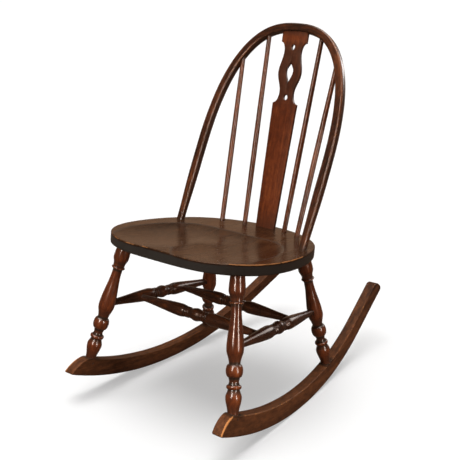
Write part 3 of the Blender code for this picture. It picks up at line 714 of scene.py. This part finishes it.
# ---------------------------------------------------------------- bow
def bow_line(count_side, count_arch):
    """Middle line (x, height) from the left foot over the top to the right foot."""
    base_x = BOW_BASE[0]
    drop = plane_hit(in_bow_plane(0.0, 0.0), BOW_UP, SEAT_UNDER, SEAT_UP) - in_bow_plane(0.0, 0.0)
    half = [(base_x, -drop.length - 0.006), (base_x, -drop.length * 0.5)]
    for i in range(count_side):
        share = i / count_side
        swell = (BOW_HALF_WIDTH - base_x) * math.sin(math.pi / 2 * share)
        half.append((base_x + swell, BOW_SWELL_HEIGHT * share))
    for i in range(count_arch + 1):
        angle = math.pi / 2 * i / count_arch
        x = BOW_HALF_WIDTH * max(math.cos(angle), 0.0) ** (2 / BOW_POWER)
        rise = math.sin(angle) ** (2 / BOW_POWER)
        half.append((x, BOW_SWELL_HEIGHT + (BOW_HEIGHT - BOW_SWELL_HEIGHT) * rise))
    return [(-x, height) for x, height in half[:-1]] + half[::-1]


def bow_section(height):
    share = smooth_step(height, 0.0, BOW_TAPER_HEIGHT)
    return BOW_END_SECTION + (BOW_SECTION - BOW_END_SECTION) * share


def rounded_square(size, corner):
    """A ring of (across, deep) points with round arrises."""
    inner = size / 2 - corner
    arris = spread(0.0, math.pi / 2, 6)[:-1]
    quarter = [(inner + corner * math.cos(a), inner + corner * math.sin(a)) for a in arris]
    quarter += [(x, size / 2) for x in spread(inner, -inner, 5)[:-1]]
    return [Matrix.Rotation(math.pi / 2 * k, 2) @ Vector(point) for k in range(4) for point in quarter]


def make_bow():
    line = [Vector(point) for point in bow_line(26, 70)]
    lengths = running_lengths(line)
    rings, places = [], []
    for i, point in enumerate(line):
        tangent = (line[min(i + 1, len(line) - 1)] - line[max(i - 1, 0)]).normalized()
        outward = Vector((-tangent.y, tangent.x))
        size = bow_section(point.y)
        corner = size * (0.20 + 0.05 * noise.noise(Vector((lengths[i] * 9.0, 0.0, 5.0))))
        ring = []
        for across, deep in rounded_square(size, corner):
            flat = point + outward * across
            ring.append((flat.x, flat.y, deep))
            places.append((across, deep, lengths[i], size, point.y))
        rings.append(ring)
    bow = loft("bow_bent", rings, merge=False)
    matrix = Matrix.Translation(in_bow_plane(0.0, 0.0)) @ axes(RIGHT, BOW_UP, RIGHT.cross(BOW_UP))

    def grain(place):
        return place[:3]
    # the arrises: real wear, and a painted highlight line along them

    def wear(place):
        across, deep, length, size, _ = place
        at_corner = smooth_step(min(abs(across), abs(deep)), size * 0.33, size * 0.44)
        rubbed_and_highlight = 0.40 + 0.35 * noise.noise(Vector((length * 7.0, across * 20.0, deep * 20.0)))
        return at_corner * rubbed_and_highlight

    def grime(place):
        across, _, _, size, height = place
        # painted shade on the bow's inner face and at its foot, with dirt
        inner = smooth_step(-across, size * 0.35, size * 0.5)
        foot = smooth_step(height, 0.012, 0.0)
        return max(0.55 * inner, 0.6 * foot)

    paint(bow, grain, wear, grime, places)
    trim(bow, matrix, SEAT_UNDER - SEAT_UP * PROUD, SEAT_UP, 1, -1)
    bow.matrix_world = matrix
    finish_piece(bow, "bow", "bow")
    for side_name, side in SIDES.items():
        make_wedge(side_name, side)


def make_wedge(side_name, side):
    """The hardwood wedge in the bow's foot. Its rear corner stands about 3.6 mm below the seat."""
    foot = plane_hit(in_bow_plane(side * BOW_BASE[0], 0.0), BOW_UP, SEAT_UNDER, SEAT_UP)
    half_width, half_thick, length = BOW_END_SECTION * 0.31, 0.0012, 0.0150
    matrix = Matrix.Translation(foot) @ axes(RIGHT, BOW_UP.cross(RIGHT), BOW_UP)
    to_local = matrix.inverted()
    point = to_local @ (SEAT_UNDER - SEAT_UP * 2 * PROUD)
    normal = to_local.to_3x3() @ SEAT_UP
    rings = []
    for share in spread(0.0, 1.0, 8):
        thick = half_thick * (1.0 - 0.55 * share)
        ring = []
        for x, y in ((1, -1), (1, -0.3), (1, 0.4), (1, 1), (-1, 1), (-1, 0.4), (-1, -0.3), (-1, -1)):
            ring.append(Vector((x * thick, y * half_width, -0.004 + share * length)))
        rings.append(ring)
    for vertex in rings[0]:
        vertex.z += (point - vertex).dot(normal) / normal.z
    wedge = loft(f"bow_wedge_{side_name}_driven", rings)
    paint(wedge, lambda place: place, lambda place: 0.0, lambda place: 0.25)
    wedge.matrix_world = matrix
    finish_piece(wedge, "wedge", f"bow_wedge_{side_name}")


# ---------------------------------------------------------------- splat
def oval(centre, half_width, half_height, pointed=False):
    """A closed loop of (across, up) points, narrower towards its lower end if pointed."""
    points = []
    for angle in spread(0.0, 2 * math.pi, 40)[:-1]:
        x, y = half_width * math.cos(angle), half_height * math.sin(angle)
        if pointed and y < 0:
            x *= 1.0 - 0.55 * (-y / half_height)
        points.append((x, centre + y))
    return points


def splat_frame():
    """The splat's frame, Y up the board, and its length from the seat to the bow."""
    base = on_rim(0.0, SPLAT_BASE_Y)
    up = in_bow_plane(0.0, SPLAT_TOP_HEIGHT) - base
    length = up.length
    up.normalize()
    return Matrix.Translation(base) @ axes(RIGHT, up, RIGHT.cross(up)), length


def splat_loops(length):
    """The outline and the three openings, as closed loops of (across, up) points."""
    shoulder_up, shoulder_half = SPLAT_EDGE[0][:2]
    top_up, top_half = SPLAT_EDGE[-1][:2]
    edge = [(SPLAT_BASE_HALF, -SPARE)]
    for u in spread(0.0, 1.0, 24)[:-1]:
        edge.append((SPLAT_BASE_HALF + (shoulder_half - SPLAT_BASE_HALF) * u, shoulder_up * u))
    edge += [(w, s) for s, w in turned_points(SPLAT_EDGE, 12)]
    edge += [(top_half, top_up + (length - top_up) * u) for u in (0.5, 1.0)]
    outline = edge + [(-w, s) for w, s in reversed(edge)]
    side = turned_points(SPLAT_DIAMOND, 14)
    diamond = [(w, s) for s, w in side] + [(-w, s) for s, w in reversed(side[1:-1])]
    return outline, oval(*SPLAT_OVAL), diamond, oval(*SPLAT_TEARDROP, pointed=True)


def make_splat():
    matrix, length = splat_frame()
    curve = bpy.data.curves.new("splat_sawn", "CURVE")
    curve.dimensions = "2D"
    curve.fill_mode = "BOTH"
    curve.extrude = SPLAT_THICK / 2 - SPLAT_ARRIS
    curve.bevel_depth = SPLAT_ARRIS
    curve.bevel_resolution = 2
    curve.offset = -SPLAT_ARRIS
    for loop in splat_loops(length):
        spline = curve.splines.new("POLY")
        spline.points.add(len(loop) - 1)
        for point, (x, y) in zip(spline.points, loop):
            point.co = (x, y, 0.0, 1.0)
        spline.use_cyclic_u = True
    source = bpy.data.objects.new("splat_sawn", curve)
    bpy.context.scene.collection.objects.link(source)
    mesh = bpy.data.meshes.new_from_object(source.evaluated_get(bpy.context.evaluated_depsgraph_get()))
    bpy.data.objects.remove(source, do_unlink=True)
    work = bmesh.new()
    work.from_mesh(mesh)
    bmesh.ops.remove_doubles(work, verts=work.verts, dist=0.00002)
    for level in spread(0.02, length - 0.01, 60):
        parts = work.verts[:] + work.edges[:] + work.faces[:]
        bmesh.ops.bisect_plane(work, geom=parts, plane_co=(0, level, 0), plane_no=(0, 1, 0))
    splat = finish_mesh("splat_sawn", work, sharp=20.0)
    low, high = SPLAT_EDGE[0][0], SPLAT_EDGE[-1][0]

    def grain(place):
        return (place.x, place.z, place.y)

    def grime(place):
        # darker over the pierced middle, and painted shade with dirt under the bow and at the foot
        pierced = smooth_step(place.y, low - 0.02, low + 0.03)
        pierced *= smooth_step(place.y, high + 0.012, high - 0.022)
        under_bow = smooth_step(place.y, length - 0.016, length - 0.004)
        foot = smooth_step(place.y, 0.060, 0.0)
        return max(0.62 * pierced, 0.5 * under_bow, 0.5 * foot)

    def wear(place):
        return 0.16 + 0.10 * noise.noise(place * 25.0)

    paint(splat, grain, wear, grime)
    splat.matrix_world = matrix
    finish_piece(splat, "splat", "splat")


# ---------------------------------------------------------------- rockers
def resample(points, count):
    """count points at even distances along a polyline."""
    lengths = running_lengths(points)
    result, k = [], 0
    for i in range(count):
        target = lengths[-1] * i / (count - 1)
        while k < len(points) - 2 and lengths[k + 1] < target:
            k += 1
        share = (target - lengths[k]) / max(lengths[k + 1] - lengths[k], 1e-9)
        a, b = points[k], points[k + 1]
        result.append((a[0] + (b[0] - a[0]) * share, a[1] + (b[1] - a[1]) * share))
    return result


def rocker_edges(count):
    """The runner's lower and upper edge as (y, z), both from the nose to the tail."""
    half_flat = ROCKER_LOW_FLAT / 2
    sink = rocker_bottom_z(ROCKER_LOW_Y + half_flat)
    places = spread(ROCKER_FRONT_Y, ROCKER_LOW_Y - half_flat, 60)
    places += spread(ROCKER_LOW_Y + half_flat, ROCKER_REAR_Y, 80)
    lower = [(y, rocker_bottom_z(y) - sink) for y in places]
    y, z = ROCKER_TOP_FRONT_Y, rocker_top_z(ROCKER_TOP_FRONT_Y)
    nose_y, nose_z = ROCKER_NOSE
    upper = bezier(ROCKER_NOSE, (nose_y + 0.0145, nose_z + 0.019), (y - 0.014, z + 0.003), (y, z), 24)
    upper += [(y, rocker_top_z(y)) for y in spread(ROCKER_TOP_FRONT_Y, ROCKER_TOP_REAR_Y, 120)[1:]]
    (y, z), (low_y, low_z) = upper[-1], lower[-1]
    tail = bezier((y, z), (y + 0.030, z + 0.004), (low_y + 0.011, low_z + 0.005), (low_y, low_z), 40)
    lower = [ROCKER_NOSE, *lower]
    tip = max(range(len(tail)), key=lambda i: tail[i][0] + 0.3 * tail[i][1])
    upper += tail[1:tip + 1]
    lower += tail[-2:tip:-1] + [tail[tip]]
    return resample(lower, count), resample(upper, count)


def rocker_section(half, tall, corner):
    """A ring of (across, up) points round the runner, with rounded arrises."""
    columns = spread(-half + corner, half - corner, 7)
    rows = spread(corner, tall - corner, 9)

    def arris(x, y, start):
        turns = spread(start, start + math.pi / 2, 5)[1:-1]
        return [(x + corner * math.cos(a), y + corner * math.sin(a)) for a in turns]

    section = [(u, 0.0) for u in columns] + arris(half - corner, corner, -math.pi / 2)
    section += [(half, v) for v in rows] + arris(half - corner, tall - corner, 0.0)
    section += [(u, tall) for u in reversed(columns)] + arris(-half + corner, tall - corner, math.pi / 2)
    section += [(-half, v) for v in reversed(rows)] + arris(-half + corner, corner, math.pi)
    return section


def make_rocker(side_name):
    side = SIDES[side_name]
    lower, upper = (edge[1:-1] for edge in rocker_edges(260))
    half = ROCKER_WIDTH / 2
    middles = [((low[0] + top[0]) / 2, (low[1] + top[1]) / 2) for low, top in zip(lower, upper)]
    rings, places = [], []
    for (low_y, low_z), (top_y, top_z), run in zip(lower, upper, running_lengths(middles)):
        tall = math.hypot(top_y - low_y, top_z - low_z)
        uneven = noise.noise(Vector((run * 11.0, side * 3.0, 0.0)))
        corner = min(0.0021 + 0.0008 * uneven, tall * 0.45)
        ring = []
        for u, v in rocker_section(half, tall, corner):
            y = low_y + (top_y - low_y) * v / tall
            z = low_z + (top_z - low_z) * v / tall
            ring.append((side * (rocker_plane_x(y, z) + u), y, z))
            places.append((u, v, tall, run, y, z))
        rings.append(ring)
    rocker = loft(f"rocker_{side_name}_sawn", rings, merge=False)

    def grain(place):
        u, _, _, _, y, z = place
        return (u, z - 0.3 * y * y, y)

    def wear(place):
        u, v, tall, run, y, _ = place
        outer_top = smooth_step(u, half - 0.0045, half - 0.0012)
        outer_top *= smooth_step(v, tall - 0.0050, tall - 0.0010)
        inner_top = smooth_step(-u, half - 0.0035, half - 0.0010)
        inner_top *= smooth_step(v, tall - 0.0040, tall - 0.0010)
        bottom = smooth_step(v, 0.0035, 0.0006) * smooth_step(abs(u), half - 0.004, half - 0.001)
        nose = smooth_step(run, 0.060, 0.030)
        tail = smooth_step(y, ROCKER_REAR_Y - 0.05, ROCKER_REAR_Y)
        patchy = 0.34 * noise.noise(Vector((run * 11.0, u * 30.0, 7.0)))
        patchy += 0.30 * noise.noise(Vector((run * 60.0, u * 30.0, 2.0)))
        slanted = nose * smooth_step(v, tall - 0.012, tall - 0.002)
        edge = max(outer_top * (0.40 + 0.50 * nose), inner_top * 0.30, bottom * (0.30 + 0.30 * nose))
        top_face = 0.40 * smooth_step(v, tall - 0.002, tall - 0.0005) * tail
        return max(edge, 0.12 * slanted, top_face) + patchy * max(edge, slanted * 0.4)

    def grime(place):
        _, v, tall, _, y, _ = place
        # painted shade with dirt where the legs meet the runner, and darker towards the bottom
        near_leg = min(abs(y - foot_y) for foot_y in LEG_FOOT_Y.values())
        joint = 0.8 * smooth_step(near_leg, 0.026, 0.015) * smooth_step(v, tall - 0.006, tall - 0.001)
        return max(joint, 0.25 * smooth_step(v, tall * 0.35, 0.0))

    paint(rocker, grain, wear, grime, places)
    finish_piece(rocker, "rocker", f"rocker_{side_name}")


def make_pin(row, side_name):
    """Domed ends of the pin through the rocker and the leg's tenon."""
    side = SIDES[side_name]
    foot, up = leg_line(row, side)
    middle = foot - up * PIN_DEPTH
    middle.x = side * rocker_plane_x(middle.y, middle.z)
    direction = Vector((1.0, side * ROCKER_TOE, side * ROCKER_CANT)).normalized()
    half = ROCKER_WIDTH / 2 * direction.x
    dome = [(half + PROUD * math.cos(a), PIN_R * math.sin(a)) for a in spread(0.05, math.pi / 2, 6)]
    points = [(-s, r) for s, r in dome] + [(s, r) for s, r in reversed(dome)]
    pin = lathe(f"rocker_pin_{row}_{side_name}_driven", points, 24)
    paint(pin, lambda place: place, lambda place: 0.1, lambda place: 0.3)
    pin.matrix_world = along(middle, direction)
    finish_piece(pin, "pin", f"rocker_pin_{row}_{side_name}")


# ---------------------------------------------------------------- camera, floor and light
def make_camera():
    """Three-quarter view from the right of the front, a little above the seat."""
    place = Vector((1.1170, -1.5920, 0.9694))
    yaw, pitch, roll = (math.radians(a) for a in (36.538, 16.935, 1.263))
    ahead = Vector((-math.sin(yaw) * math.cos(pitch), math.cos(yaw) * math.cos(pitch), -math.sin(pitch)))
    level = Vector((math.cos(yaw), math.sin(yaw), 0.0))
    above = level.cross(ahead)
    right = level * math.cos(roll) + above * math.sin(roll)
    up = above * math.cos(roll) - level * math.sin(roll)
    data = bpy.data.cameras.new("camera")
    data.sensor_width = 36.0
    data.lens = 64.21
    camera = bpy.data.objects.new("camera", data)
    camera.matrix_world = Matrix.Translation(place) @ axes(right, up, -ahead)
    bpy.context.scene.collection.objects.link(camera)
    bpy.context.scene.camera = camera


def stage_surface(name, work, base, glow, level):
    """A plain pale surface that is seen directly but not in the wood's reflections."""
    surface = finish_mesh(name, work)
    material = bpy.data.materials.new(name)
    material.use_nodes = True
    shader = material.node_tree.nodes["Principled BSDF"]
    shader.inputs["Base Color"].default_value = rgb(base, base, base)
    shader.inputs["Emission Color"].default_value = rgb(1.0, 1.0, 1.0)
    shader.inputs["Emission Strength"].default_value = glow
    shader.inputs["Roughness"].default_value = 0.9
    shader.inputs["Specular IOR Level"].default_value = level
    surface.data.materials.append(material)
    surface.visible_glossy = False
    surface.visible_diffuse = False
    return surface


def make_floor():
    work = bmesh.new()
    bmesh.ops.create_grid(work, x_segments=2, y_segments=2, size=60.0)
    floor = stage_surface("floor", work, 0.52, 0.42, 0.1)


def make_backdrop():
    """A pale wall far round the floor."""
    work = bmesh.new()
    bmesh.ops.create_cone(work, segments=96, radius1=58.0, radius2=58.0, depth=50.0)
    wall = stage_surface("backdrop", work, 0.0, 1.05, 0.0)
    wall.visible_shadow = False


def add_light(name, kind, direction, energy):
    """A light of the kind, shining along the direction."""
    data = bpy.data.lights.new(name, kind)
    data.energy = energy
    light = bpy.data.objects.new(name, data)
    light.rotation_mode = "QUATERNION"
    light.rotation_quaternion = Vector(direction).to_track_quat("-Z", "Y")
    bpy.context.scene.collection.objects.link(light)
    return light


def area_light(name, place, size, power, pieces, colour=(1.0, 1.0, 1.0)):
    """A rectangular light that faces the chair and lights the given pieces alone."""
    middle = Vector((0.0, 0.0, 0.40))
    light = add_light(name, "AREA", middle - Vector(place), power)
    light.location = place
    light.visible_camera = False
    light.light_linking.receiver_collection = pieces
    light.data.shape = "RECTANGLE"
    light.data.size, light.data.size_y = size
    light.data.color = colour


def overhead_light(name, direction, angle, energy):
    """A soft light from far overhead, on the chair and the floor."""
    light = add_light(name, "SUN", direction, energy)
    light.data.angle = math.radians(angle)


def make_lights():
    area_light("strip_front", (0.25, -2.40, 1.90), (0.13, 2.4), 80.0, SHINY_PIECES)
    area_light("strip_right", (2.70, -0.67, 1.00), (0.13, 1.9), 48.0, SHINY_PIECES)
    area_light("box_rear", (0.9, 2.9, 1.7), (1.6, 1.2), 34.0, SHINY_PIECES)
    area_light("box_back", (-1.6, 2.1, 0.72), (2.6, 0.9), 2.3, LIT_PIECES, (1.0, 0.62, 0.38))
    overhead_light("overhead_key", (0.06, 0.12, -1.0), 40.0, 2.5)
    overhead_light("overhead_soft", (0.0, 0.0, -1.0), 80.0, 1.2)


def make_world():
    """Dim light from all round, warm near the horizon and greyer overhead."""
    world = bpy.data.worlds.new("studio")
    world.use_nodes = True
    bpy.context.scene.world = world
    tree = world.node_tree
    background = tree.nodes["Background"]
    direction = add(tree, "ShaderNodeTexCoord").outputs["Generated"]
    up = add(tree, "ShaderNodeSeparateXYZ", i0=direction).outputs[2]
    shade = mix(tree, remap(tree, up, 0.02, 0.45), rgb(0.13, 0.080, 0.055), rgb(0.08, 0.07, 0.06))
    tree.links.new(shade, background.inputs["Color"])
    background.inputs["Strength"].default_value = 1.0


def build():
    make_camera()
    make_floor()
    make_backdrop()
    make_lights()
    make_world()
    make_seat()
    make_bow()
    make_splat()
    for kind in SPINDLES:
        for side_name in SIDES:
            make_spindle(kind, side_name)
    for side_name, side in SIDES.items():
        make_rocker(side_name)
        make_stretcher(f"side_stretcher_{side_name}", *side_stretcher_line(side), STRETCHER_INTO_LEG)
        for row in ROWS:
            make_leg(row, side_name)
            make_pin(row, side_name)
    for row, place_along in zip(ROWS, CROSS_AT):
        make_stretcher(f"cross_stretcher_{row}", *cross_stretcher_line(place_along), STRETCHER_INTO_SIDE)


build()
bpy.context.scene.view_settings.view_transform = "Standard"
